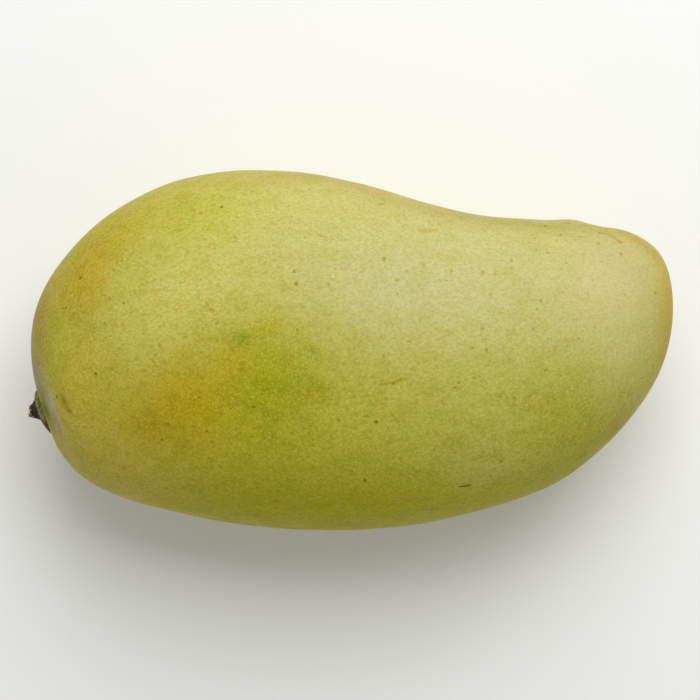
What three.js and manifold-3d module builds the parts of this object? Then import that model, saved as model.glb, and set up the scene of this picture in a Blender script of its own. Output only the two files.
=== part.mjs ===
// A whole mango, picked with a short stub of its stalk and lying on one cheek.
// Millimetres, +Z up. X runs from the stalk end to the tip, and +Y is the side with the hollow in front of the beak.
// The origin is on the surface that the fruit rests on, under the middle of its box.
import * as THREE from 'three';
import { mergeVertices } from 'three/addons/utils/BufferGeometryUtils.js';
import Module from 'manifold-3d';

// The outline seen from above is a closed, uniform cubic B-spline. Its control points stand a little outside the
// skin. They start at the stalk, go over the crown and the hollow to the tip, and come back along the full belly.
const outlineControls = [
  [-73, -17], // stalk
  [-77.5, 9],
  [-62.5, 29],
  [-42, 41], // crown
  [-18, 43],
  [5, 39],
  [26.5, 30.5],
  [49, 31], // hollow and beak
  [76.5, 27],
  [75, -2.5], // tip
  [65, -17],
  [50.5, -31],
  [32, -37.5],
  [13, -41.5], // belly
  [-5.5, -42.5],
  [-25.5, -41.5],
  [-43, -37.5],
  [-63.5, -32.5],
].map(([x, y]) => new THREE.Vector3(x, y, 0));

// Half the thickness of the fruit follows a half wave from the stalk to the tip. Shares of two shorter waves make
// the stalk's end the thicker one and both ends blunt, and each cross-section fills out a little at its corners.
const halfThickness = 36.2;
const stalkEndShare = 0.025;
const bluntShare = 0.07;
const cornerFullness = 0.07;

// The flat spot that the fruit rests on is this deep in the lower cheek.
const restDepth = 0.6;

// The beak is a low bump, with the scar's small dip between it and the tip.
const beakCentre = new THREE.Vector3(51.5, 30.5, 0);
const beakHeight = 0.6;
const beakSpread = 3.2;
const beakScarCentre = new THREE.Vector3(57.5, 29, 0);
const beakScarDepth = 0.75;
const beakScarSpread = 2.8;
const beakOutwards = new THREE.Vector3(0.1, 0.99, 0).normalize();

// The stalk stands in a shallow basin. Its foot is a low green collar, and the stub on it was snapped off. The collar
// is a little off the basin's middle towards +Y, and the stub further off.
const basinDepth = 1.5;
const basinSpread = 3.8;
const collarFootRadius = 5.7;
const collarTopRadius = 3;
const collarHeight = 2.3;
const collarOffset = 0.5;
const collarLobes = 5;
const collarLobeDepth = 0.04;
const stubBaseRadius = 2.3;
const stubTipRadius = 1.35;
const stubLength = 2.1;
const stubOffset = 1.7;
const stubLean = 0.4;
const breakRoughness = 0.25;
const stalkRoot = 3;
const seatGap = 0.3; // between the stalk and the skin under it

// Rings of skin from the stalk to the tip, and points round each ring.
const skinRings = 52;
const skinSides = 56;
const stalkSides = 30;

const wasm = await Module();
wasm.setup();

// The uniform cubic B-spline through the closed list of controls, at t, where each control takes one unit of t.
function outlineAt(t) {
  const count = outlineControls.length;
  const turn = ((t % count) + count) % count;
  const first = Math.floor(turn);
  const f = turn - first;
  const weights = [
    (1 - f) ** 3 / 6,
    (3 * f ** 3 - 6 * f ** 2 + 4) / 6,
    (-3 * f ** 3 + 3 * f ** 2 + 3 * f + 1) / 6,
    f ** 3 / 6,
  ];
  const point = new THREE.Vector3();
  weights.forEach((weight, k) => point.addScaledVector(outlineControls[(first - 1 + k + count) % count], weight));
  return point;
}

// A round bump: 1 at its centre, fading as a bell curve of that spread.
function bump(point, centre, spread) {
  return Math.exp(-point.distanceToSquared(centre) / (2 * spread ** 2));
}

const stalkPole = outlineAt(0);
const alongPole = outlineAt(0.01).sub(outlineAt(-0.01)).normalize();
const stalkAxis = new THREE.Vector3(-alongPole.y, alongPole.x, 0); // out of the fruit

// The skin at s, from 0 at the stalk to 1 at the tip, and angle, from 0 on the hollow's side round by the top cheek.
// A ring spans the two points of the outline that are as far along its two sides.
function skinPoint(s, angle) {
  const halfway = outlineControls.length / 2;
  const upper = outlineAt(s * halfway);
  const lower = outlineAt(-s * halfway);
  const middle = upper.clone().add(lower).multiplyScalar(0.5);
  const reach = upper.clone().sub(lower).multiplyScalar(0.5);
  const wave = (count) => Math.sin(count * Math.PI * s);
  const thickness = halfThickness * (wave(1) + stalkEndShare * wave(2) + bluntShare * wave(3));
  const fullness = 1 + cornerFullness * Math.cos(angle) ** 2;
  const point = middle.addScaledVector(reach, Math.cos(angle));
  point.z = thickness * fullness * Math.sin(angle);
  const beak =
    beakHeight * bump(point, beakCentre, beakSpread) - beakScarDepth * bump(point, beakScarCentre, beakScarSpread);
  point.addScaledVector(beakOutwards, beak);
  point.addScaledVector(stalkAxis, -basinDepth * bump(point, stalkPole, basinSpread));
  return point;
}

// A closed skin of rings and two end points. Each point is moved out along its normal by the given gap.
function skinGeometry(rings, sides, gap) {
  const step = 1e-3;
  const positions = [];
  const place = (s, angle) => {
    const point = skinPoint(s, angle);
    if (gap === 0) return point;
    const along = skinPoint(s + step, angle).sub(skinPoint(s - step, angle));
    const round = skinPoint(s, angle + step).sub(skinPoint(s, angle - step));
    return point.addScaledVector(round.cross(along).normalize(), gap);
  };
  positions.push(...skinPoint(0, 0).addScaledVector(stalkAxis, gap));
  for (let ring = 1; ring < rings; ring++) {
    for (let side = 0; side < sides; side++) {
      positions.push(...place(ring / rings, (side / sides) * 2 * Math.PI));
    }
  }
  positions.push(...skinPoint(1, 0).addScaledVector(new THREE.Vector3(1, 0, 0), gap));

  const at = (ring, side) => 1 + (ring - 1) * sides + (side % sides);
  const last = 1 + (rings - 1) * sides;
  const triangles = [];
  for (let side = 0; side < sides; side++) {
    triangles.push(0, at(1, side + 1), at(1, side));
    triangles.push(last, at(rings - 1, side), at(rings - 1, side + 1));
    for (let ring = 1; ring < rings - 1; ring++) {
      triangles.push(at(ring, side), at(ring, side + 1), at(ring + 1, side));
      triangles.push(at(ring, side + 1), at(ring + 1, side + 1), at(ring + 1, side));
    }
  }
  const geometry = new THREE.BufferGeometry();
  geometry.setAttribute('position', new THREE.Float32BufferAttribute(positions, 3));
  geometry.setIndex(triangles);
  return geometry;
}

// The whole fruit: the skin, with the lower cheek flattened where it rests.
function fruitGeometry() {
  const geometry = skinGeometry(skinRings, skinSides, 0);
  const position = geometry.getAttribute('position');
  geometry.computeBoundingBox();
  const restLevel = geometry.boundingBox.min.z + restDepth;
  for (let i = 0; i < position.count; i++) position.setZ(i, Math.max(position.getZ(i), restLevel));
  geometry.computeBoundingBox();
  return geometry;
}

// The stalk before its root is cut to the skin: rows of a lathe along +Z, with lobes on the collar, the stub off
// the middle and leaning, and an uneven broken end.
function stalkGeometry() {
  const rows = [
    // [radius, height, offset, share of the lobes, share of the break's roughness]
    [collarFootRadius, -stalkRoot, collarOffset, 1, 0],
    [collarFootRadius, collarHeight * 0.25, collarOffset, 1, 0],
    [collarFootRadius * 0.92, collarHeight * 0.45, collarOffset, 1, 0],
    [(collarFootRadius + collarTopRadius) / 2, collarHeight * 0.75, (collarOffset + stubOffset) / 2, 0.8, 0],
    [collarTopRadius, collarHeight, stubOffset * 0.7, 0.5, 0],
    [stubBaseRadius, collarHeight + stubLength * 0.15, stubOffset, 0.3, 0],
    [(stubBaseRadius + stubTipRadius) / 2, collarHeight + stubLength * 0.55, stubOffset + stubLean * 0.5, 0.2, 0.2],
    [stubTipRadius, collarHeight + stubLength, stubOffset + stubLean, 0.3, 1],
    [stubTipRadius * 0.5, collarHeight + stubLength * 0.9, stubOffset + stubLean, 0, 0.7],
  ];
  const positions = [];
  for (const [radius, height, offset, lobes, rough] of rows) {
    for (let side = 0; side < stalkSides; side++) {
      const angle = (side / stalkSides) * 2 * Math.PI;
      const r = radius * (1 + lobes * collarLobeDepth * Math.cos(collarLobes * angle));
      const crack = rough * breakRoughness * (Math.sin(3 * angle) + 0.6 * Math.sin(5 * angle + 1));
      positions.push(r * Math.cos(angle) + offset, r * Math.sin(angle), height + crack);
    }
  }
  const at = (row, side) => row * stalkSides + (side % stalkSides);
  const foot = positions.push(collarOffset, 0, -stalkRoot) / 3 - 1;
  const top = positions.push(stubOffset + stubLean, 0, collarHeight + stubLength * 0.88) / 3 - 1;
  const triangles = [];
  for (let side = 0; side < stalkSides; side++) {
    triangles.push(foot, at(0, side + 1), at(0, side));
    triangles.push(top, at(rows.length - 1, side), at(rows.length - 1, side + 1));
    for (let row = 0; row < rows.length - 1; row++) {
      triangles.push(at(row, side), at(row, side + 1), at(row + 1, side));
      triangles.push(at(row, side + 1), at(row + 1, side + 1), at(row + 1, side));
    }
  }
  const geometry = new THREE.BufferGeometry();
  geometry.setAttribute('position', new THREE.Float32BufferAttribute(positions, 3));
  geometry.setIndex(triangles);

  // Turn the lathe's +Z to the stalk's own axis, and its +X along the collar towards +Y.
  const side = new THREE.Vector3().crossVectors(stalkAxis, alongPole);
  const turn = new THREE.Matrix4().makeBasis(alongPole, side, stalkAxis);
  turn.setPosition(skinPoint(0, 0));
  return geometry.applyMatrix4(turn);
}

function toSolid(geometry) {
  const bare = new THREE.BufferGeometry();
  bare.setAttribute('position', geometry.getAttribute('position'));
  bare.setIndex(geometry.getIndex());
  const merged = mergeVertices(bare, 1e-4);
  return new wasm.Manifold(
    new wasm.Mesh({
      numProp: 3,
      vertProperties: new Float32Array(merged.getAttribute('position').array),
      triVerts: new Uint32Array(merged.getIndex().array),
    }),
  );
}

function fromSolid(solid) {
  const mesh = solid.getMesh();
  const geometry = new THREE.BufferGeometry();
  geometry.setAttribute('position', new THREE.BufferAttribute(mesh.vertProperties, mesh.numProp));
  geometry.setIndex(new THREE.BufferAttribute(mesh.triVerts, 1));
  geometry.computeVertexNormals();
  return geometry;
}

function makeFruit() {
  const geometry = fruitGeometry();
  geometry.computeVertexNormals();
  const skin = new THREE.MeshStandardMaterial({ color: 0xb9b653, roughness: 0.5, metalness: 0 });
  const mesh = new THREE.Mesh(geometry, skin);
  mesh.name = 'fruit';
  return mesh;
}

// The stalk ends just clear of the skin, whose shape its foot follows.
function makeStalk() {
  const clearance = toSolid(skinGeometry(skinRings * 2, skinSides * 2, seatGap));
  const seated = toSolid(stalkGeometry()).subtract(clearance);
  const wood = new THREE.MeshStandardMaterial({ color: 0x3a3a1c, roughness: 0.85, metalness: 0 });
  const mesh = new THREE.Mesh(fromSolid(seated), wood);
  mesh.name = 'stalk';
  return mesh;
}

const mango = new THREE.Group();
mango.add(makeFruit(), makeStalk());

// Put the origin under the middle of the box, on the resting surface.
const box = new THREE.Box3().setFromObject(mango);
const centre = box.getCenter(new THREE.Vector3());
mango.position.set(-centre.x, -centre.y, -box.min.z);

export default mango;
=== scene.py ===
# A whole mango lying on one cheek, seen from above in plain soft studio light.
# The frame is in metres. Shapes are worked out in millimetres and scaled as they go into a mesh.
import math

import bpy
import numpy as np
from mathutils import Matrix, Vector


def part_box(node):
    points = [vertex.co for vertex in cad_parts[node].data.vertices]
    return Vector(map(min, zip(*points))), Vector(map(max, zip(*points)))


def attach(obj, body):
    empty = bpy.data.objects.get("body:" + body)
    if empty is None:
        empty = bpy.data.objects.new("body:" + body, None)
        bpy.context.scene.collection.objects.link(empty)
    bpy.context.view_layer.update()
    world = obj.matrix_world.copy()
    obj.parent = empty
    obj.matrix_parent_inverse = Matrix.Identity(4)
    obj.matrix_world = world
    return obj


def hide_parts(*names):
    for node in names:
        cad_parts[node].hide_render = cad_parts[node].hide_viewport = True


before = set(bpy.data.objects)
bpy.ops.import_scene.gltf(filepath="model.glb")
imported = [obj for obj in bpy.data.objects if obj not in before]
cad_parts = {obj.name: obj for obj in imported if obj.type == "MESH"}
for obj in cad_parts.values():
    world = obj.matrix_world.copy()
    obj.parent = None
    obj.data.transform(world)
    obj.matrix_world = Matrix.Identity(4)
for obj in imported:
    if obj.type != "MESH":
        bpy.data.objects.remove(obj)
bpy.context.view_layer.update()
millimetre = 0.001

# Sizes in this file are in the drawing's own millimetres: X from the stalk to the tip, Y to the side with the
# hollow, Z up from the middle of the fruit. One shift then brings the drawing to the frame.


# Node and mesh helpers


# A colour written as sRGB hex, as the linear values that shaders take.
def hexColour(code):
    srgb = np.array([int(code[k : k + 2], 16) for k in (1, 3, 5)]) / 255
    linear = np.where(srgb <= 0.04045, srgb / 12.92, ((srgb + 0.055) / 1.055) ** 2.4)
    return (*linear.tolist(), 1.0)


# Adds a node. A setting is a property of the node where it has one of that name, and else a socket's value.
def addNode(tree, kind, settings=None, links=None):
    node = tree.nodes.new(kind)
    for key, value in (settings or {}).items():
        if isinstance(key, str) and hasattr(node, key):
            setattr(node, key, value)
        else:
            node.inputs[key].default_value = value
    for key, source in (links or {}).items():
        tree.links.new(source, node.inputs[key])
    return node


# A new material with its tree, the place in the object in millimetres, and the colour painted on the mesh.
# The colour's alpha is how strongly the fine pattern shows there.
def newMaterial(name):
    material = bpy.data.materials.new(name)
    material.use_nodes = True
    tree = material.node_tree
    tree.nodes.clear()
    place = addNode(tree, "ShaderNodeTexCoord").outputs["Object"]
    inMm = addNode(tree, "ShaderNodeVectorMath", {"operation": "SCALE", "Scale": 1 / millimetre}, {0: place})
    painted = addNode(tree, "ShaderNodeAttribute", {"attribute_name": "ground"})
    return material, tree, inMm.outputs[0], painted.outputs["Color"], painted.outputs["Alpha"]


# Faces of a closed surface of rings, each with the same number of points, and one end point before and one
# after them.
def ringFaces(ringCount, sideCount, first=0):
    side = np.arange(sideCount)
    after = (side + 1) % sideCount
    ring = first + 1 + np.arange(ringCount - 1)[:, None] * sideCount
    quads = np.stack([ring + side, ring + after, ring + sideCount + after, ring + sideCount + side], -1)
    last = first + 1 + ringCount * sideCount
    firstFan = np.stack([np.full_like(side, first), first + 1 + after, first + 1 + side], -1)
    lastFan = np.stack([np.full_like(side, last), last - sideCount + side, last - sideCount + after], -1)
    return quads.reshape(-1, 4).tolist() + firstFan.tolist() + lastFan.tolist()


# Makes a smooth mesh piece from points in the frame's millimetres, with a colour for each point.
def makePiece(name, points, faces, material, colours):
    mesh = bpy.data.meshes.new(name)
    mesh.from_pydata((points * millimetre).tolist(), [], faces)
    mesh.polygons.foreach_set("use_smooth", np.ones(len(mesh.polygons), bool))
    layer = mesh.attributes.new("ground", "FLOAT_COLOR", "POINT")
    layer.data.foreach_set("color", colours.astype(np.float32).ravel())
    mesh.materials.append(material)
    mesh.update()
    piece = bpy.data.objects.new(name, mesh)
    bpy.context.scene.collection.objects.link(piece)
    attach(piece, "root")
    print("piece", name, "with", len(mesh.polygons), "faces")
    return piece


# Blends colours towards one colour and strength of pattern, by a share for each point.
def blend(colours, code, share, net=1):
    return colours * (1 - share[:, None]) + np.array([*hexColour(code)[:3], net]) * share[:, None]


# A smooth step from 0 at start to 1 at end.
def ramp(values, start, end):
    share = np.clip((values - start) / (end - start), 0, 1)
    return share * share * (3 - 2 * share)


# The fruit's surface

fruit = {
    # Outline seen from above: control points of a closed spline, from the stalk over the crown and the hollow
    # to the tip, and back along the full belly. They come from a least-squares fit to the outline in the
    # photograph, and weren't placed by hand.
    "outline": [
        (-73, -17), (-77.5, 9), (-62.5, 29), (-42, 41), (-18, 43), (5, 39),
        (26.5, 30.5), (49, 31), (76.5, 27), (75, -2.5), (65, -17), (50.5, -31),
        (32, -37.5), (13, -41.5), (-5.5, -42.5), (-25.5, -41.5), (-43, -37.5), (-63.5, -32.5),
    ],
    "halfThickness": 36.2,
    "stalkEndShare": 0.025,  # makes the stalk's end thicker than the tip
    "bluntShare": 0.07,  # makes both ends blunt
    "cornerFullness": 0.07,  # fills out each cross-section at its corners
    "beak": {"centre": (51.5, 30.5, 0), "height": 0.6, "spread": 3.2},
    "beakScar": {"centre": (57.5, 29, 0), "height": -0.75, "spread": 2.8},
    "beakOutwards": (0.1, 0.995, 0),
    "basinDepth": 1.5,
    "basinSpread": 3.8,
    "unevenness": {"height": 0.1, "seed": 7, "waves": 7, "lengths": (12, 40)},  # low waves of the skin, in mm
    "restSoftness": 0.3,  # height over which the flat spot runs out
    "rings": 330,
    "sides": 300,
}
outline = np.array(fruit["outline"], float)
halfway = len(outline) / 2


# A closed uniform cubic B-spline: each stretch of t between whole numbers blends four control points, with
# weights that are the four cubic basis polynomials of the fraction.
def splineAt(controls, t):
    count = len(controls)
    first = np.floor(t).astype(int)
    f = (t - first)[..., None]
    before, here, after, beyond = (controls[(first + k) % count] for k in (-1, 0, 1, 2))
    return (
        (1 - f) ** 3 * before
        + (3 * f**3 - 6 * f**2 + 4) * here
        + (-3 * f**3 + 3 * f**2 + 3 * f + 1) * after
        + f**3 * beyond
    ) / 6


# The same spline left open, from 0 to 1, and held at both ends by repeating them.
def openSpline(rows, t):
    held = np.concatenate([rows[:1], rows[:1], rows, rows[-1:], rows[-1:]])
    return splineAt(held, 1 + t * (len(held) - 3))


# A bell curve of the distance to a centre.
def bell(points, centre, spread):
    return np.exp(-((points - np.array(centre, float)) ** 2).sum(-1) / (2 * spread**2))[..., None]


stalkPole = np.append(splineAt(outline, np.array(0.0)), 0)
smallStep = 0.01
alongPole = np.append(splineAt(outline, np.array(smallStep)) - splineAt(outline, np.array(-smallStep)), 0)
alongPole /= np.linalg.norm(alongPole)
stalkAxis = np.array([-alongPole[1], alongPole[0], 0])  # out of the fruit


# The skin at s, from 0 at the stalk to 1 at the tip, and angle, from 0 on the hollow's side round by the
# upper cheek. Each ring spans the two outline points at s: the middle plus the half span times the cosine of
# the angle. Its height is the thickness at s times the sine, fuller towards the corners. The beak is a bell
# pushed out and its scar one pushed in, both nearly along Y. The basin is one pushed in along the stalk.
def skinAt(s, angle):
    upper = splineAt(outline, s * halfway)
    lower = splineAt(outline, -s * halfway)
    flat = (upper + lower) / 2 + (upper - lower) / 2 * np.cos(angle)[..., None]
    waves = (
        np.sin(np.pi * s)
        + fruit["stalkEndShare"] * np.sin(2 * np.pi * s)
        + fruit["bluntShare"] * np.sin(3 * np.pi * s)
    )
    fullness = 1 + fruit["cornerFullness"] * np.cos(angle) ** 2
    height = fruit["halfThickness"] * waves * fullness * np.sin(angle)
    points = np.concatenate([flat, height[..., None]], -1)
    lift = sum(
        fruit[name]["height"] * bell(points, fruit[name]["centre"], fruit[name]["spread"])
        for name in ("beak", "beakScar")
    )
    points = points + lift * np.array(fruit["beakOutwards"])
    return points - fruit["basinDepth"] * bell(points, stalkPole, fruit["basinSpread"]) * stalkAxis


ringShare = np.arange(1, fruit["rings"]) / fruit["rings"]
sideAngle = np.arange(fruit["sides"]) / fruit["sides"] * 2 * np.pi
smoothSkin = skinAt(*np.meshgrid(ringShare, sideAngle, indexing="ij"))
stalkEnd = skinAt(np.array(0.0), np.array(0.0))
tipEnd = skinAt(np.array(1.0), np.array(0.0))

# The shift from the drawing to the frame brings the skin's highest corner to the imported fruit's.
drawingToFrame = np.array(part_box("fruit")[1]) / millimetre - smoothSkin.reshape(-1, 3).max(0)
print("drawing to frame, mm", drawingToFrame.round(3).tolist())


# Low, long waves in a few seeded directions, as growth leaves them.
def unevenAt(points):
    uneven = fruit["unevenness"]
    rng = np.random.default_rng(uneven["seed"])
    total = np.zeros(points.shape[:-1])
    for _ in range(uneven["waves"]):
        direction = rng.normal(size=3)
        wavelength = rng.uniform(*uneven["lengths"])
        phase = points @ (direction / np.linalg.norm(direction)) * 2 * np.pi / wavelength
        total += np.sin(phase + rng.uniform(0, 2 * np.pi))
    return total[..., None] / math.sqrt(uneven["waves"])


# The cross product of the grid's steps round and along: its direction is the normal, and its length the area
# of the patch.
def gridCross(points):
    along = np.gradient(points, axis=0)
    padded = np.concatenate([points[:, -1:], points, points[:, :1]], 1)
    return np.cross((padded[:, 2:] - padded[:, :-2]) / 2, along)


skinCross = gridCross(smoothSkin)
patchArea = np.linalg.norm(skinCross, axis=-1)
skinNormals = skinCross / patchArea[..., None]
skinPoints = smoothSkin + skinNormals * unevenAt(smoothSkin) * fruit["unevenness"]["height"] + drawingToFrame


# Flattens what would be below the floor: half the sum of the height and the root of its square plus the
# softness squared.
def settle(points):
    height = points[..., 2]
    settled = (height + np.sqrt(height**2 + fruit["restSoftness"] ** 2)) / 2
    return np.concatenate([points[..., :2], (settled - settled.min())[..., None]], -1)


skinPoints = settle(skinPoints)
skinVertices = np.concatenate(
    [(stalkEnd + drawingToFrame)[None], skinPoints.reshape(-1, 3), (tipEnd + drawingToFrame)[None]]
)


picture = {
    "lens": 120,
    "sensor": 36,
    "width": 164.06,  # mm of the drawing's plane across the picture
    "centre": (-0.47, 0),
    "steepest": 0.2,  # upward part of the normal, below which a place isn't moved along the skin
}
cameraDistance = picture["width"] * picture["lens"] / picture["sensor"]
pictureCentre = np.array(picture["centre"])


# The places on the skin that show at places of the drawing's plane, and the nearest grid points. The camera
# looks straight down, so the upper cheek shows larger by its nearness. Each place is the grid point, moved by
# what is left along the plane that touches the skin there. Places on the lower cheek are in plan.
def skinUnder(plan, below=False):
    facing = skinNormals[..., 2].ravel() * (-1 if below else 1)
    grid = np.flatnonzero(facing > 0)
    near = skinPoints.reshape(-1, 3)[grid] - drawingToFrame
    growth = 1 if below else cameraDistance / (cameraDistance - near[:, 2:])
    shown = pictureCentre + (near[:, :2] - pictureCentre) * growth
    wanted = np.array(plan, float)
    nearest = ((shown - wanted[:, None]) ** 2).sum(-1).argmin(1)
    place, normal = near[nearest], skinNormals.reshape(-1, 3)[grid[nearest]]
    steep = np.abs(normal[:, 2]) < picture["steepest"]
    offset = np.where(steep[:, None], 0, wanted - shown[nearest])
    place[:, :2] += offset
    place[:, 2] -= (offset * normal[:, :2]).sum(-1) / np.where(steep, 1, normal[:, 2])
    return place + drawingToFrame, grid[nearest]


# Colour of the skin

skinColours = {
    "ground": "#beb82e",
    # Soft patches in the order that they lie on each other: the place where each shows, reach along, across
    # and up in mm, turn in degrees, colour, and share at the centre. Those marked below are on the lower
    # cheek. Net is how much of the skin's fine pattern a patch lets through.
    "patches": [
        # pale wax bloom, partly painted highlight, on the crown and over the hollow; bloom beside the stalk
        {"at": (26, 20), "reach": (44, 18, 26), "turn": -6, "colour": "#cac592", "share": 0.85, "net": 0.75},
        {"at": (-14, 30), "reach": (28, 12, 20), "turn": 4, "colour": "#cec77c", "share": 0.55, "net": 0.85},
        {"at": (13, 14), "reach": (12, 7, 12), "turn": -10, "colour": "#cccaa6", "share": 0.28, "net": 0.7},
        {"at": (-46, 10), "reach": (15, 14, 15), "colour": "#d4cb72", "share": 0.75},
        {"at": (-34, 21), "reach": (7, 6, 7), "colour": "#d6ce7c", "share": 0.35},
        {"at": (-58, -26), "reach": (15, 9, 16), "turn": -25, "colour": "#dec458", "share": 0.8},
        {"at": (-46, -35), "reach": (12, 5, 12), "turn": -15, "colour": "#d6cc5c", "share": 0.4},
        # riper yellow and greener cheek, and the saturated rims of the crown and the belly
        {"at": (-36, -13.5), "reach": (11, 8, 12), "colour": "#bfab00", "share": 0.85},
        {"at": (-19, -8), "reach": (8, 10, 12), "colour": "#a6a900", "share": 0.8},
        {"at": (38, -16), "reach": (20, 12, 14), "turn": 15, "colour": "#bebe64", "share": 0.6},
        {"at": (32, -30), "reach": (8, 4, 6), "turn": 15, "colour": "#d6d280", "share": 0.4},
        {"at": (51, -16), "reach": (10, 7, 10), "turn": 40, "colour": "#b0b030", "share": 0.55},
        {"at": (-59, 24), "reach": (13, 6, 10), "turn": 45, "colour": "#bca714", "share": 0.75},
        {"at": (-36, 32), "reach": (8, 6, 9), "turn": 10, "colour": "#bab60c", "share": 0.45},
        {"at": (0, -37), "reach": (42, 4, 12), "turn": 3, "colour": "#c2bc00", "share": 0.8},
        {"at": (-26, -4), "reach": (8, 5, 8), "colour": "#b6ac00", "share": 0.35},
        # pale tip, partly painted highlight where the lamp's sheen falls, with its golden edge
        {"at": (61, 15), "reach": (8, 9, 12), "colour": "#d6c994", "share": 0.75, "net": 0.45},
        {"at": (64, 0), "reach": (7, 7, 12), "colour": "#d0c982", "share": 0.6, "net": 0.7},
        {"at": (60, 24), "reach": (7, 4, 9), "turn": -30, "colour": "#b4b084", "share": 0.28, "net": 0.5},
        {"at": (66, 22), "reach": (10, 4, 9), "turn": -38, "colour": "#ccb880", "share": 0.3, "net": 0.5},
        {
            "at": (67.8, 25.2), "reach": (11, 1, 9), "turn": -38,
            "colour": "#b49444", "share": 0.58, "net": 0.5,
        },
        {"at": (74.3, 8), "reach": (2.2, 15, 12), "colour": "#ccaa40", "share": 0.75, "net": 0.5},
        # small blotches
        {"at": (-28.5, -3), "reach": (3.2, 2.4, 3), "turn": 60, "colour": "#c6a400", "share": 0.48},
        {"at": (-41, -11.5), "reach": (5, 4, 5), "colour": "#c8a600", "share": 0.35},
        {"at": (-48, -17.5), "reach": (6, 4, 5), "colour": "#b49c00", "share": 0.5},
        {"at": (-62.5, 16), "reach": (4, 7, 7), "colour": "#c8a010", "share": 0.4},
        {"at": (-64, -5), "reach": (4, 6, 7), "colour": "#d8be44", "share": 0.5},
        {"at": (42.5, -13), "reach": (2.8, 1.2, 2), "colour": "#b89a1c", "share": 0.35},
        {"at": (-9.5, -10.2), "reach": (2.2, 1.6, 2), "colour": "#b49800", "share": 0.5},
        {"at": (-20.7, -9.6), "reach": (3.5, 1.4, 2), "turn": 8, "colour": "#929e00", "share": 0.35},
        {"at": (-10.4, -8), "reach": (2.6, 1.3, 2), "turn": -20, "colour": "#98a200", "share": 0.35},
        {"at": (-25.5, 2.9), "reach": (1.7, 1.2, 1.4), "turn": -25, "colour": "#8c9a00", "share": 0.65},
        {"at": (-9.3, -0.1), "reach": (1.3, 0.7, 1), "colour": "#98a000", "share": 0.5},
        {"at": (-20, 5.4), "reach": (2.4, 1.3, 1.2), "turn": 15, "colour": "#c2b004", "share": 0.6},
        # duller, darker rims of the hollow, crown and stalk's end: partly own colour, partly painted shade
        {"at": (40, 30), "reach": (18, 1.5, 8), "turn": -4, "colour": "#a89a4c", "share": 0.55},
        {"at": (5, 37.5), "reach": (18, 2, 9), "turn": -18, "colour": "#c2a064", "share": 0.5},
        {"at": (-22, 40.5), "reach": (16, 1.8, 8), "turn": 3, "colour": "#bca058", "share": 0.4},
        {"at": (-73, 8), "reach": (1.6, 12, 12), "colour": "#b8924e", "share": 0.6},
        {"at": (62, -18), "reach": (5, 1.2, 6), "turn": 55, "colour": "#b8985c", "share": 0.36},
        # greyish, pale and green skin round the stalk, with two rusty stains
        {"at": (-74.1, -5.6), "reach": (4, 1, 16), "turn": -70, "colour": "#a89c94", "share": 0.85},
        {"at": (-73.6, -3.2), "reach": (1, 0.4, 3), "turn": -72, "colour": "#c87c40", "share": 0.5},
        {"at": (-70.2, -13.6), "reach": (5, 0.8, 8), "turn": -74, "colour": "#c4c0ac", "share": 0.85},
        {"at": (-69, -17.5), "reach": (3, 0.5, 4), "turn": -71, "colour": "#bc9870", "share": 0.5},
        {"at": (-72, -14), "reach": (2.8, 0.9, 14), "turn": -71, "colour": "#767c00", "share": 1},
        {"at": (-73, -10.7), "reach": (1.3, 1.1, 14), "turn": -71, "colour": "#949800", "share": 1},
        {"at": (-71.7, -14.2), "reach": (1.6, 0.4, 4), "turn": -71, "colour": "#5a5c00", "share": 0.7},
        {"at": (-67.4, -12.3), "reach": (1.5, 0.4, 0.9), "turn": -65, "colour": "#ac7c00", "share": 0.8},
        {"at": (-66.1, -14.4), "reach": (0.5, 0.5, 0.5), "colour": "#ac7000", "share": 0.7},
        # lower cheek
        {"at": (-20, 2), "reach": (30, 20, 12), "colour": "#a6a428", "share": 0.6, "below": True},
        {
            "at": (22, -12), "reach": (18, 10, 12), "turn": 20,
            "colour": "#bda61c", "share": 0.5, "below": True,
        },
        {"at": (55, 8), "reach": (14, 14, 12), "colour": "#c8bf6c", "share": 0.6, "below": True},
        {"at": (-52, 12), "reach": (12, 12, 12), "colour": "#c9b840", "share": 0.6, "below": True},
    ],
}


# The ground colour of each skin point, blended patch by patch: by the patch's share times a bell of the
# squared distance to its centre, measured in its reach along, across and up.
def paintSkin():
    colours = np.tile(hexColour(skinColours["ground"]), (len(skinVertices), 1))
    for patch in skinColours["patches"]:
        turn = math.radians(patch.get("turn", 0))
        offset = skinVertices - skinUnder([patch["at"]], patch.get("below", False))[0][0]
        along = offset[:, 0] * math.cos(turn) + offset[:, 1] * math.sin(turn)
        across = offset[:, 1] * math.cos(turn) - offset[:, 0] * math.sin(turn)
        distance = (np.column_stack([along, across, offset[:, 2]]) / patch["reach"]) ** 2
        share = patch["share"] * np.exp(-distance.sum(1) / 2)
        colours = blend(colours, patch["colour"], share, patch.get("net", 1))
    return colours


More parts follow.
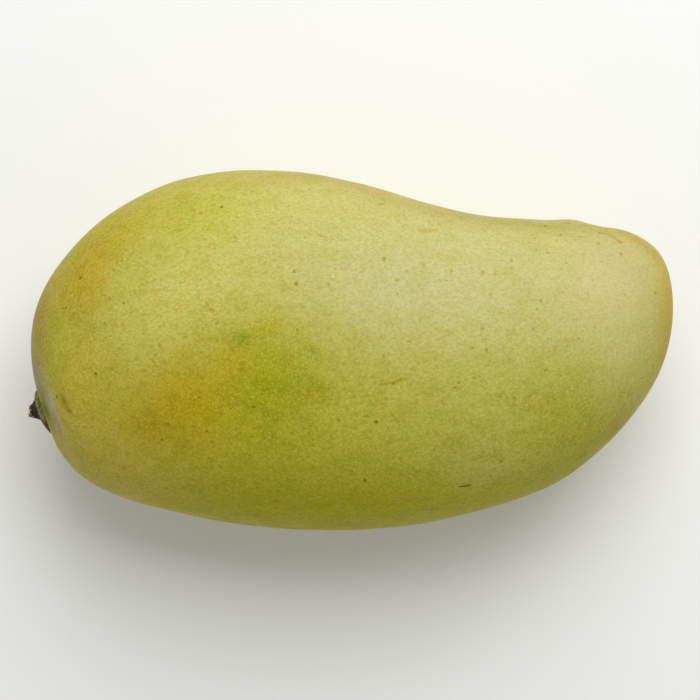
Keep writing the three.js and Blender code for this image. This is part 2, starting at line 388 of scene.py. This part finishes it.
skinFinish = {
    # Patterns laid over the ground colour one after another: the size in mm of the waves or cells, the values
    # between which the pattern fades in, its colour and its share. Waves multiply the colour below them.
    # Cells cover it, and also fade in by their own random number.
    "layers": [
        # broad flushes of greener and of riper skin
        {"size": 14, "fade": (0.5, 0.75), "colour": "#d0e494", "share": 0.2},
        {"size": 7, "fade": (0.5, 0.25), "colour": "#ffe6a0", "share": 0.3},
        # fine mottling
        {"size": 3.2, "fade": (0.45, 0.7), "colour": "#dae476", "share": 0.42},
        {"size": 1.6, "fade": (0.5, 0.3), "colour": "#e6ce70", "share": 0.44},
        {"size": 0.55, "fade": (0.6, 0.3), "colour": "#c0b860", "share": 0.35},
        # dark points between the glands
        {"size": 0.7, "fade": (0.5, 0.1), "cells": (0, 0.9), "colour": "#989400", "share": 0.2},
        # oil glands: pale points, large and small
        {"size": 0.85, "fade": (0.5, 0.05), "cells": (-1, 0.9), "colour": "#eee670", "share": 0.25},
        {"size": 0.5, "fade": (0.6, 0.1), "cells": (0, 0.8), "colour": "#eee670", "share": 0.28},
        # faint pores, still green
        {"size": 3.3, "fade": (0.16, 0.04), "cells": (0.4, 0.6), "colour": "#858024", "share": 0.5},
    ],
    "glandSize": 1.0,  # mm: waves above this size fade faster under the wax than the glands do
    "mottlingFade": 2.5,  # power of the pattern's strength
    "stretch": (0.65, 1.0, 1.0),  # draws the mottling out along the fruit
    "warpSize": 0.9,
    "warp": 0.5,  # mm that the cells are pushed about by
    "sheenSize": 11,  # mm
    "sheenFade": (0.35, 0.65),
    "roughness": (0.44, 0.56),
    "reliefStrength": 0.6,
    "reliefDepth": 0.012,  # mm
}


# Mango skin: a waxy cuticle over flesh. Light goes in a little way and the wax gives a broad, soft sheen that
# varies with its bloom. The oil glands show as pale points in a darker, finer net.
def makeSkinMaterial():
    material, tree, inMm, colour, net = newMaterial("waxyMangoSkin")
    warpNoise = addNode(
        tree, "ShaderNodeTexNoise", {"Scale": 1 / skinFinish["warpSize"], "Detail": 1.0}, {"Vector": inMm}
    )
    warped = addNode(
        tree,
        "ShaderNodeVectorMath",
        {"operation": "MULTIPLY_ADD", 1: (skinFinish["warp"],) * 3},
        {0: warpNoise.outputs["Color"], 2: inMm},
    )
    drawnOut = addNode(
        tree, "ShaderNodeVectorMath", {"operation": "MULTIPLY", 1: skinFinish["stretch"]}, {0: inMm}
    )
    mottlingNet = addNode(
        tree, "ShaderNodeMath", {"operation": "POWER", 1: skinFinish["mottlingFade"]}, {0: net}
    ).outputs[0]
    for layer in skinFinish["layers"]:
        inCells = "cells" in layer
        strength = net if inCells or layer["size"] < skinFinish["glandSize"] else mottlingNet
        pattern = addNode(
            tree,
            "ShaderNodeTexVoronoi" if inCells else "ShaderNodeTexNoise",
            {"Scale": 1 / layer["size"], "Detail": 0.0 if inCells else 3.0},
            {"Vector": warped.outputs[0] if inCells else drawnOut.outputs[0]},
        )
        share = addNode(
            tree,
            "ShaderNodeMapRange",
            {
                "interpolation_type": "SMOOTHSTEP",
                "From Min": layer["fade"][0],
                "From Max": layer["fade"][1],
                "To Max": layer["share"],
            },
            {"Value": pattern.outputs[0]},
        ).outputs[0]
        share = addNode(tree, "ShaderNodeMath", {"operation": "MULTIPLY"}, {0: share, 1: strength}).outputs[0]
        if inCells:
            ownNumber = addNode(
                tree,
                "ShaderNodeMapRange",
                {"From Min": layer["cells"][0], "From Max": layer["cells"][1]},
                {"Value": pattern.outputs["Color"]},
            )
            share = addNode(
                tree, "ShaderNodeMath", {"operation": "MULTIPLY"}, {0: share, 1: ownNumber.outputs[0]}
            ).outputs[0]
            relief = share
        colour = addNode(
            tree,
            "ShaderNodeMix",
            {
                "data_type": "RGBA",
                "blend_type": "MIX" if inCells else "MULTIPLY",
                7: hexColour(layer["colour"]),
            },
            {0: share, 6: colour},
        ).outputs[2]

    bloom = addNode(tree, "ShaderNodeTexNoise", {"Scale": 1 / skinFinish["sheenSize"]}, {"Vector": inMm})
    roughness = addNode(
        tree,
        "ShaderNodeMapRange",
        {
            "From Min": skinFinish["sheenFade"][0],
            "From Max": skinFinish["sheenFade"][1],
            "To Min": skinFinish["roughness"][0],
            "To Max": skinFinish["roughness"][1],
        },
        {"Value": bloom.outputs[0]},
    )
    bump = addNode(
        tree,
        "ShaderNodeBump",
        {"Strength": skinFinish["reliefStrength"], "Distance": skinFinish["reliefDepth"] * millimetre},
        {"Height": relief},
    )
    surface = addNode(
        tree,
        "ShaderNodeBsdfPrincipled",
        {
            "IOR": 1.45,
            "Specular IOR Level": 0.08,
            "Subsurface Weight": 0.15,
            "Subsurface Radius": (1.0, 0.7, 0.25),
            "Subsurface Scale": 1.5 * millimetre,
        },
        {"Base Color": colour, "Roughness": roughness.outputs[0], "Normal": bump.outputs[0]},
    )
    addNode(tree, "ShaderNodeOutputMaterial", links={"Surface": surface.outputs[0]})
    return material


skinGround = paintSkin()
skin = makePiece(
    "fruitSkin",
    skinVertices,
    ringFaces(fruit["rings"] - 1, fruit["sides"]),
    makeSkinMaterial(),
    skinGround,
)
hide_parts("fruit")
gridGround = skinGround[1:-1]

# Pores and small scars on the skin

pores = {
    # The clearest pores of the upper cheek, where they show.
    "dark": [
        (-30.5, 33.5), (-53.5, 11), (-67, 10), (-63.5, 17), (-13, 15.5), (-13.5, 18.5), (7.5, 21.5),
        (31.5, 0), (3, -30.5), (35, -26), (-44.5, -21), (-34, -19), (-60, -5.5), (5.7, -16.8),
        (-23.1, -13.2), (45.3, 29.1),
    ],
    "faint": [
        (-34.5, 26), (-27.5, 25.5), (-25, 36.5), (-67, 14), (-63.5, 10.5), (-53.5, 29), (12, 29), (28, 0.5),
        (45.5, -4.5), (47, -14.5), (56, -17.5), (58.5, -17), (68, -6.5), (49, 27), (50.2, 20.4), (45.9, 22.8),
        (58.6, 20.7), (63.1, 22.5), (57.7, 25), (58.1, 27.4), (71.1, 13.4), (18.5, -37.5), (30.5, 5),
        (-28.5, -13.6), (-61, -18), (-63, -5.5), (25, -7.5), (28.5, -6.5), (42.5, 5), (10.4, 16.5),
        (13, 18.4), (13.5, 2.2), (23.3, 18.6), (30.6, 18.4), (37.4, 19.3), (37.4, 21), (-5.5, 15.6),
        (50.6, 29.7), (-43, -17.2), (-32.9, -21.2), (-35.7, -10.9), (-3.2, -16.3), (7.4, -1.3),
        (-12.8, 4.8), (-45.1, 1.3), (-39, 3.2), (-43.5, 10.9), (24.1, -8.7), (23.6, -33.6), (44.3, 11.6),
    ],
    # Rings of each pore from under the skin to its middle: shares of its radius, its rise in mm, and how dark
    # it is.
    "profile": [(0, -0.12, 0), (1, -0.01, 0), (0.72, 0.02, 0.35), (0.4, 0.035, 0.8), (0, 0.04, 1)],
    "seed": 11,
    "radius": (0.35, 0.55),
    "stretch": (0.8, 1.25),
    "sides": 8,
    "scattered": 110,  # on the lower cheek and the sides, at about the same spacing
    "highestScattered": 26,  # mm above the floor
    "colour": "#5c4a00",
    "darkGrowth": 1.25,  # the clearest pores are larger by this
    "darkShare": 0.7,
    "faintShare": 0.34,
    "variation": 0.25,
}


# Low lenses of cork: the profile turned about each normal, a little longer one way. Their rims keep the
# skin's own colour, so they have no hard edge.
def makePores():
    rng = np.random.default_rng(pores["seed"])
    place, grid = skinUnder(pores["dark"] + pores["faint"])
    chance = np.where(skinPoints[..., 2] < pores["highestScattered"], patchArea, 0).ravel()
    picked = rng.choice(chance.size, pores["scattered"], replace=False, p=chance / chance.sum())
    place = np.concatenate([place, skinPoints.reshape(-1, 3)[picked]])
    grid = np.concatenate([grid, picked])
    normal = skinNormals.reshape(-1, 3)[grid]
    sideways = np.cross(normal, (1, 0, 0))
    sideways /= np.linalg.norm(sideways, axis=1, keepdims=True)
    forward = np.cross(normal, sideways)
    count = len(place)
    radius = rng.uniform(*pores["radius"], (count, 1))
    radius[: len(pores["dark"])] *= pores["darkGrowth"]
    stretch = rng.uniform(*pores["stretch"], (count, 1))
    angle = np.arange(pores["sides"]) / pores["sides"] * 2 * np.pi
    repeats = [1, *[pores["sides"]] * (len(pores["profile"]) - 2), 1]
    out, height, dark = np.repeat(pores["profile"], repeats, axis=0).T
    turn = np.concatenate([[0], np.tile(angle, len(repeats) - 2), [0]])
    points = (
        place[:, None]
        + sideways[:, None] * (out * np.cos(turn) * radius * stretch)[..., None]
        + forward[:, None] * (out * np.sin(turn) * radius / stretch)[..., None]
        + normal[:, None] * height[:, None]
    )
    isDark = np.arange(count)[:, None] < len(pores["dark"])
    strength = np.where(isDark, pores["darkShare"], pores["faintShare"])
    strength = strength * rng.uniform(1 - pores["variation"], 1 + pores["variation"], (count, 1))
    colours = blend(np.repeat(gridGround[grid], len(out), axis=0), pores["colour"], (dark * strength).ravel())
    faces = sum((ringFaces(len(repeats) - 2, pores["sides"], k * len(out)) for k in range(count)), [])
    return points.reshape(-1, 3), faces, colours


marks = {
    # Healed scratches and rubs of the upper cheek: path where it shows, width and colour.
    "strokes": [
        {"path": [(58.6, 27.5), (60.3, 27), (61.5, 26.2), (62.9, 25.4)], "width": 0.6, "colour": "#c0a230"},
        {"path": [(58.4, 27.8), (60.3, 27.3), (61.8, 26.3)], "width": 1.7, "colour": "#beb066"},
        {"path": [(62.2, 25.5), (63.4, 25.2)], "width": 1.2, "colour": "#be9420"},
        {"path": [(-34.3, 11.3), (-33.9, 10.9), (-33.6, 10.3)], "width": 0.8, "colour": "#bea04a"},
        {"path": [(-33.6, 9.4), (-32.9, 9.6), (-32.2, 9)], "width": 1.1, "colour": "#bc9c44"},
        {"path": [(-31.7, 6.9), (-31.2, 6.3)], "width": 0.8, "colour": "#c0a440"},
        {"path": [(25, -32), (26.5, -31.9), (28, -31.5)], "width": 0.9, "colour": "#86641c"},
        {"path": [(6.2, -8.1), (8, -7.8), (9.6, -7.4)], "width": 0.6, "colour": "#aca028"},
        {"path": [(9.2, -7.8), (10.2, -7.6)], "width": 0.9, "colour": "#988414"},
        {"path": [(10, -7.5), (11.8, -6.6)], "width": 0.6, "colour": "#a89420"},
        {"path": [(15.2, 28.2), (17, 27.9), (18.8, 28)], "width": 1.1, "colour": "#beb662"},
        {"path": [(18.1, 28.1), (19, 28.1), (19.9, 27.9)], "width": 0.8, "colour": "#caac66"},
        {"path": [(6, 34.1), (7.6, 34.3)], "width": 0.7, "colour": "#b0984c"},
        {"path": [(33.2, 17.8), (34.1, 17.8)], "width": 0.5, "colour": "#b4a050"},
        {"path": [(6.2, -34.3), (12, -34.5), (17.5, -34.3)], "width": 0.6, "colour": "#b8b470"},
        {"path": [(-28.5, -33.9), (-27.1, -33.9)], "width": 0.6, "colour": "#c4be88"},
        {"path": [(-15.6, -34.6), (-14.2, -34.3)], "width": 0.6, "colour": "#c4be88"},
        {"path": [(-8.6, -34.6), (-7.1, -34.3)], "width": 0.6, "colour": "#c4be88"},
        {"path": [(-4.1, -36.4), (-2.5, -36.4)], "width": 0.6, "colour": "#c4be88"},
        {"path": [(50.4, 27.4), (52, 27.6), (53.6, 27.5)], "width": 1.1, "colour": "#c8c8a2"},
        {"path": [(52, 26.9), (53.6, 27.1), (55.2, 26.9)], "width": 1.1, "colour": "#c8c8a2"},
        {"path": [(-4.8, 17.2), (-4.2, 17.2)], "width": 0.6, "colour": "#e8e4b8"},
        {"path": [(-69.3, -10.6), (-69, -11.4)], "width": 0.7, "colour": "#7c6c1c"},
    ],
    "rise": 0.03,
    "rings": 14,
    "sides": 12,
}


# Flat ribbons along the skin: an ellipse carried along each path, half the width by the rise, that narrows to
# both ends as the root of a sine. Their edges keep the skin's own colour.
def makeMarks():
    share = (np.arange(marks["rings"]) + 0.5) / marks["rings"]
    stations = np.concatenate([[0], share, [1]])
    angle = np.arange(marks["sides"]) / marks["sides"] * 2 * np.pi
    taper = np.sin(np.pi * share) ** 0.5
    points, faces, colours = [], [], []
    for stroke in marks["strokes"]:
        place, grid = skinUnder(openSpline(np.array(stroke["path"], float), stations))
        normal = skinNormals.reshape(-1, 3)[grid]
        across = np.cross(normal, np.gradient(place, axis=0))
        across /= np.linalg.norm(across, axis=1, keepdims=True)
        wide = across[1:-1, None] * (np.cos(angle) * taper[:, None] * stroke["width"] / 2)[..., None]
        high = normal[1:-1, None] * (np.sin(angle) * taper[:, None] * marks["rise"])[..., None]
        ribbon = np.concatenate([place[:1], (place[1:-1, None] + wide + high).reshape(-1, 3), place[-1:]])
        own = np.concatenate([[0], (np.clip(np.sin(angle), 0, 1) ** 2 * taper[:, None]).ravel(), [0]])
        ground = np.repeat(gridGround[grid], [1, *[marks["sides"]] * marks["rings"], 1], axis=0)
        faces += ringFaces(marks["rings"], marks["sides"], len(points) * len(ribbon))
        points.append(ribbon)
        colours.append(blend(ground, stroke["colour"], own))
    return np.concatenate(points), faces, np.concatenate(colours)


cork = {
    "grainsPerMm": 2.5,
    "grainFade": (0.35, 0.65),
    "tint": "#f8f080",
    "tintShare": (0.4, 0.8),
}


# Cork: dead, dry skin cells that closed a pore or a scratch. They are rough and dull, and as unevenly
# yellowed as the skin round them.
def makeCorkMaterial(name):
    material, tree, inMm, painted, _ = newMaterial(name)
    grain = addNode(
        tree, "ShaderNodeTexNoise", {"Scale": cork["grainsPerMm"], "Detail": 2.0}, {"Vector": inMm}
    )
    share = addNode(
        tree,
        "ShaderNodeMapRange",
        {
            "From Min": cork["grainFade"][0],
            "From Max": cork["grainFade"][1],
            "To Min": cork["tintShare"][0],
            "To Max": cork["tintShare"][1],
        },
        {"Value": grain.outputs[0]},
    )
    colour = addNode(
        tree,
        "ShaderNodeMix",
        {"data_type": "RGBA", "blend_type": "MULTIPLY", 7: hexColour(cork["tint"])},
        {0: share.outputs[0], 6: painted},
    )
    surface = addNode(
        tree,
        "ShaderNodeBsdfPrincipled",
        {"Roughness": 0.65, "IOR": 1.45, "Specular IOR Level": 0.18},
        {"Base Color": colour.outputs[2]},
    )
    addNode(tree, "ShaderNodeOutputMaterial", links={"Surface": surface.outputs[0]})
    return material


porePoints, poreFaces, poreColours = makePores()
makePiece("skinPores", porePoints, poreFaces, makeCorkMaterial("corkyPores"), poreColours)
markPoints, markFaces, markColours = makeMarks()
makePiece("skinScars", markPoints, markFaces, makeCorkMaterial("healedScratches"), markColours)

# Stalk: a low green collar and the snapped stub on it

stalk = {
    # Rows of a lathe up the stalk, each a radius, a height, an offset towards the crown, and shares of the
    # collar's lobes and of the break's roughness.
    "rows": [
        (5.7, -1.2, 0.5, 1, 0),
        (5.7, 0.58, 0.5, 1, 0),
        (5.4, 1.15, 0.5, 1, 0),
        (4.5, 1.85, 1.1, 0.8, 0),
        (3, 2.3, 1.3, 0.5, 0),
        (2.35, 2.6, 1.65, 0.3, 0),
        (1.75, 3.4, 1.7, 0.2, 0.2),
        (1.25, 4.15, 1.9, 0.3, 0.8),
        (1.15, 4.5, 1.95, 0.3, 1),
        (0.65, 4.3, 1.95, 0, 0.7),
        (0.02, 4.25, 1.95, 0, 0),
    ],
    "collarTop": 2.3,
    "stubOffset": 1.7,
    "lobes": 5,
    "lobeDepth": 0.04,
    "seed": 3,
    "barkRidges": (7, 11, 17, 26),  # counts round the stub
    "ridgeDepth": 0.02,
    "dryDepth": 0.05,  # added where the bark is dry
    "dryLength": 0.6,  # mm above the collar over which it dries
    "ridgeWander": 0.8,
    "wanderRate": (1, 2.5),  # per mm of height
    "breakRoughness": 0.22,
    "breakSlope": 0.5,  # towards the belly, where it stands highest
    # Waves round the stub, each a height, a count and a phase.
    "breakWaves": [(0.4, 2, 1), (0.6, 5, 1), (0.35, 11, 0)],
    "colourWaves": [(0.12, 9, 0), (0.08, 23, 1)],
    "rings": 150,
    "sides": 180,
    "flank": "#a8a838",
    "pale": "#b8a468",
    "green": "#6a7a0c",
    "maroon": "#7c3820",
    "bark": "#23261a",
    "lichen": "#5c5a2c",
    "break": "#b8a044",
    # Coats laid over the flank's colour one after another, each a colour, a share, and the ramps that say
    # where: a field of paintStalk and the values between which the coat fades in.
    "coats": [
        ("green", 0.9, [("blotch", 0.6, -0.3)]),
        ("pale", 0.8, [("raisedEdge", 1.5, 1.7), ("toCrown", 0.8, 0.4)]),
        ("maroon", 1, [("loweredEdge", 1.8, 2.1)]),
        ("maroon", 1, [("toCrown", -0.45, -0.7), ("height", -0.5, 0.2)]),
        ("maroon", 0.8, [("toCrown", 0.75, 0.93), ("height", 0.9, 1.4)]),
        ("bark", 1, [("loweredEdge", 2.3, 2.6)]),
        ("lichen", 0.7, [("height", 2.7, 3.1), ("blotch", 0.4, 0.9)]),
        ("break", 0.8, [("height", 3.5, 3.9), ("blotch", 0.1, 0.6)]),
        ("break", 0.85, [("raisedEdge", 4.05, 4.3)]),
    ],
    "grainsPerMm": 2.2,
    "crackFade": (0.35, 0.7),
    "crackShare": 0.6,
    "crackColour": "#6c6450",
    "reliefStrength": 0.8,
    "reliefDepth": 0.15,  # mm
}
stalkBasis = np.stack([alongPole, np.cross(stalkAxis, alongPole), stalkAxis])


# The sum of waves round the stub: each height times the sine of its count times the angle plus its phase.
def wavesAt(waves, angle):
    return sum(height * np.sin(count * angle + phase) for height, count, phase in waves)


# A lathe with rows joined by a spline. Its radius swells in the collar's lobes and in finer ridges of bark,
# which are sines of the angle. The break slopes with the place across it, and is rough by more such sines.
def stalkSurface():
    rows = openSpline(np.array(stalk["rows"], float), np.linspace(0, 1, stalk["rings"]))
    radius, height, offset, lobes, rough = (column[:, None] for column in rows.T)
    angle = (np.arange(stalk["sides"]) / stalk["sides"] * 2 * np.pi)[None]
    radius = radius * (1 + lobes * stalk["lobeDepth"] * np.cos(stalk["lobes"] * angle))
    dry = np.clip((height - stalk["collarTop"]) / stalk["dryLength"], 0, 1)
    rng = np.random.default_rng(stalk["seed"])
    for count in stalk["barkRidges"]:
        phase = rng.uniform(0, 2 * np.pi)
        phase = phase + stalk["ridgeWander"] * np.sin(height * rng.uniform(*stalk["wanderRate"]))
        depth = (stalk["ridgeDepth"] + stalk["dryDepth"] * dry) / count**0.5
        radius = radius * (1 + depth * np.sin(count * angle + phase))
    slope = stalk["breakSlope"] * radius * np.cos(angle)
    height = height + rough * (stalk["breakRoughness"] * wavesAt(stalk["breakWaves"], angle) - slope)
    points = np.stack([radius * np.cos(angle) + offset, radius * np.sin(angle), height], -1)
    foot = np.array([[stalk["rows"][0][2], 0, stalk["rows"][0][1]]])
    return np.concatenate([foot, points.reshape(-1, 3), points[-1].mean(0)[None]])


# Colours by height and by direction round the stalk: blotchy green, a pale ring, a maroon seam under the stub
# that runs down to the belly and a little towards the crown, dark bark with lichen, and the paler break.
def paintStalk(points):
    height = points[:, 2]
    angle = np.arctan2(points[:, 1], points[:, 0] - stalk["stubOffset"])
    wobble = wavesAt(stalk["colourWaves"], angle)
    fields = {
        "height": height,
        "raisedEdge": height + wobble,
        "loweredEdge": height - wobble,
        "toCrown": np.cos(angle),
        "blotch": np.sin(5 * angle + 2 * height) * np.sin(3 * height + 2)
        + 0.5 * np.sin(17 * angle + 3 * height),
    }
    colours = np.tile(hexColour(stalk["flank"]), (len(points), 1))
    for colour, share, ramps in stalk["coats"]:
        where = math.prod(ramp(fields[field], start, end) for field, start, end in ramps)
        colours = blend(colours, stalk[colour], share * where)
    return colours


# Dry mango stalk: rough, dull bark over a green collar of living skin, with fine cracks.
def makeStalkMaterial():
    material, tree, inMm, painted, _ = newMaterial("dryStalkBark")
    grain = addNode(
        tree,
        "ShaderNodeTexNoise",
        {"Scale": stalk["grainsPerMm"], "Detail": 4.0, "Roughness": 0.7},
        {"Vector": inMm},
    ).outputs[0]
    darker = addNode(
        tree,
        "ShaderNodeMapRange",
        {
            "From Min": stalk["crackFade"][0],
            "From Max": stalk["crackFade"][1],
            "To Max": stalk["crackShare"],
        },
        {"Value": grain},
    )
    colour = addNode(
        tree,
        "ShaderNodeMix",
        {"data_type": "RGBA", "blend_type": "MULTIPLY", 7: hexColour(stalk["crackColour"])},
        {0: darker.outputs[0], 6: painted},
    )
    bump = addNode(
        tree,
        "ShaderNodeBump",
        {"Strength": stalk["reliefStrength"], "Distance": stalk["reliefDepth"] * millimetre},
        {"Height": grain},
    )
    surface = addNode(
        tree,
        "ShaderNodeBsdfPrincipled",
        {"Roughness": 0.7, "Specular IOR Level": 0.35},
        {"Base Color": colour.outputs[2], "Normal": bump.outputs[0]},
    )
    addNode(tree, "ShaderNodeOutputMaterial", links={"Surface": surface.outputs[0]})
    return material


stalkPoints = stalkSurface()
stub = makePiece(
    "stalkStub",
    stalkPoints @ stalkBasis + stalkEnd + drawingToFrame,
    ringFaces(stalk["rings"], stalk["sides"]),
    makeStalkMaterial(),
    paintStalk(stalkPoints),
)
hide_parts("stalk")

# Floor, light and camera

studio = {
    "floorColour": "#f6f6f4",
    "floorGlow": 0.08,  # the floor's own emission: a painted glow that brightens it evenly, with no lamp under it
    "floorReach": 3.0,  # metres each way
    "skyStrength": 0.3,
    "keyPlace": (0.12, 0.5, 0.75),  # metres: up the picture and above
    "keySize": 0.7,
    "keyWatts": 6.75,
    "aim": (0, 0, 0.03),
}


# A matt, pale paper sweep, which also glows a little by its own emission: painted light.
def makeFloor():
    material = bpy.data.materials.new("palePaper")
    material.use_nodes = True
    tree = material.node_tree
    tree.nodes.clear()
    surface = addNode(
        tree,
        "ShaderNodeBsdfPrincipled",
        {
            "Base Color": hexColour(studio["floorColour"]),
            "Roughness": 0.9,
            "Emission Color": (1, 1, 1, 1),
            "Emission Strength": studio["floorGlow"],
        },
    )
    addNode(tree, "ShaderNodeOutputMaterial", links={"Surface": surface.outputs[0]})
    reach = studio["floorReach"]
    mesh = bpy.data.meshes.new("floor")
    corners = [(-reach, -reach, 0), (reach, -reach, 0), (reach, reach, 0), (-reach, reach, 0)]
    mesh.from_pydata(corners, [], [(0, 1, 2, 3)])
    mesh.materials.append(material)
    floor = bpy.data.objects.new("floor", mesh)
    bpy.context.scene.collection.objects.link(floor)


# An even white surround and one large soft lamp up the picture.
def makeLights():
    world = bpy.data.worlds.new("studio")
    bpy.context.scene.world = world
    world.use_nodes = True
    surround = world.node_tree.nodes["Background"]
    surround.inputs["Color"].default_value = (1, 1, 1, 1)
    surround.inputs["Strength"].default_value = studio["skyStrength"]
    key = bpy.data.lights.new("key", "AREA")
    key.shape = "SQUARE"
    key.size = studio["keySize"]
    key.energy = studio["keyWatts"]
    lamp = bpy.data.objects.new("key", key)
    lamp.location = studio["keyPlace"]
    towards = Vector(studio["aim"]) - Vector(studio["keyPlace"])
    lamp.rotation_euler = towards.to_track_quat("-Z", "Y").to_euler()
    bpy.context.scene.collection.objects.link(lamp)


# The camera looks straight down, from where its lens takes in the picture's width at the fruit's middle.
def makeCamera():
    camera = bpy.data.cameras.new("camera")
    camera.lens = picture["lens"]
    camera.sensor_width = picture["sensor"]
    holder = bpy.data.objects.new("camera", camera)
    holder.location = ((np.array([*pictureCentre, cameraDistance]) + drawingToFrame) * millimetre).tolist()
    bpy.context.scene.collection.objects.link(holder)
    bpy.context.scene.camera = holder


makeFloor()
makeLights()
makeCamera()
bpy.context.scene.view_settings.view_transform = "Standard"
print("studio ready")
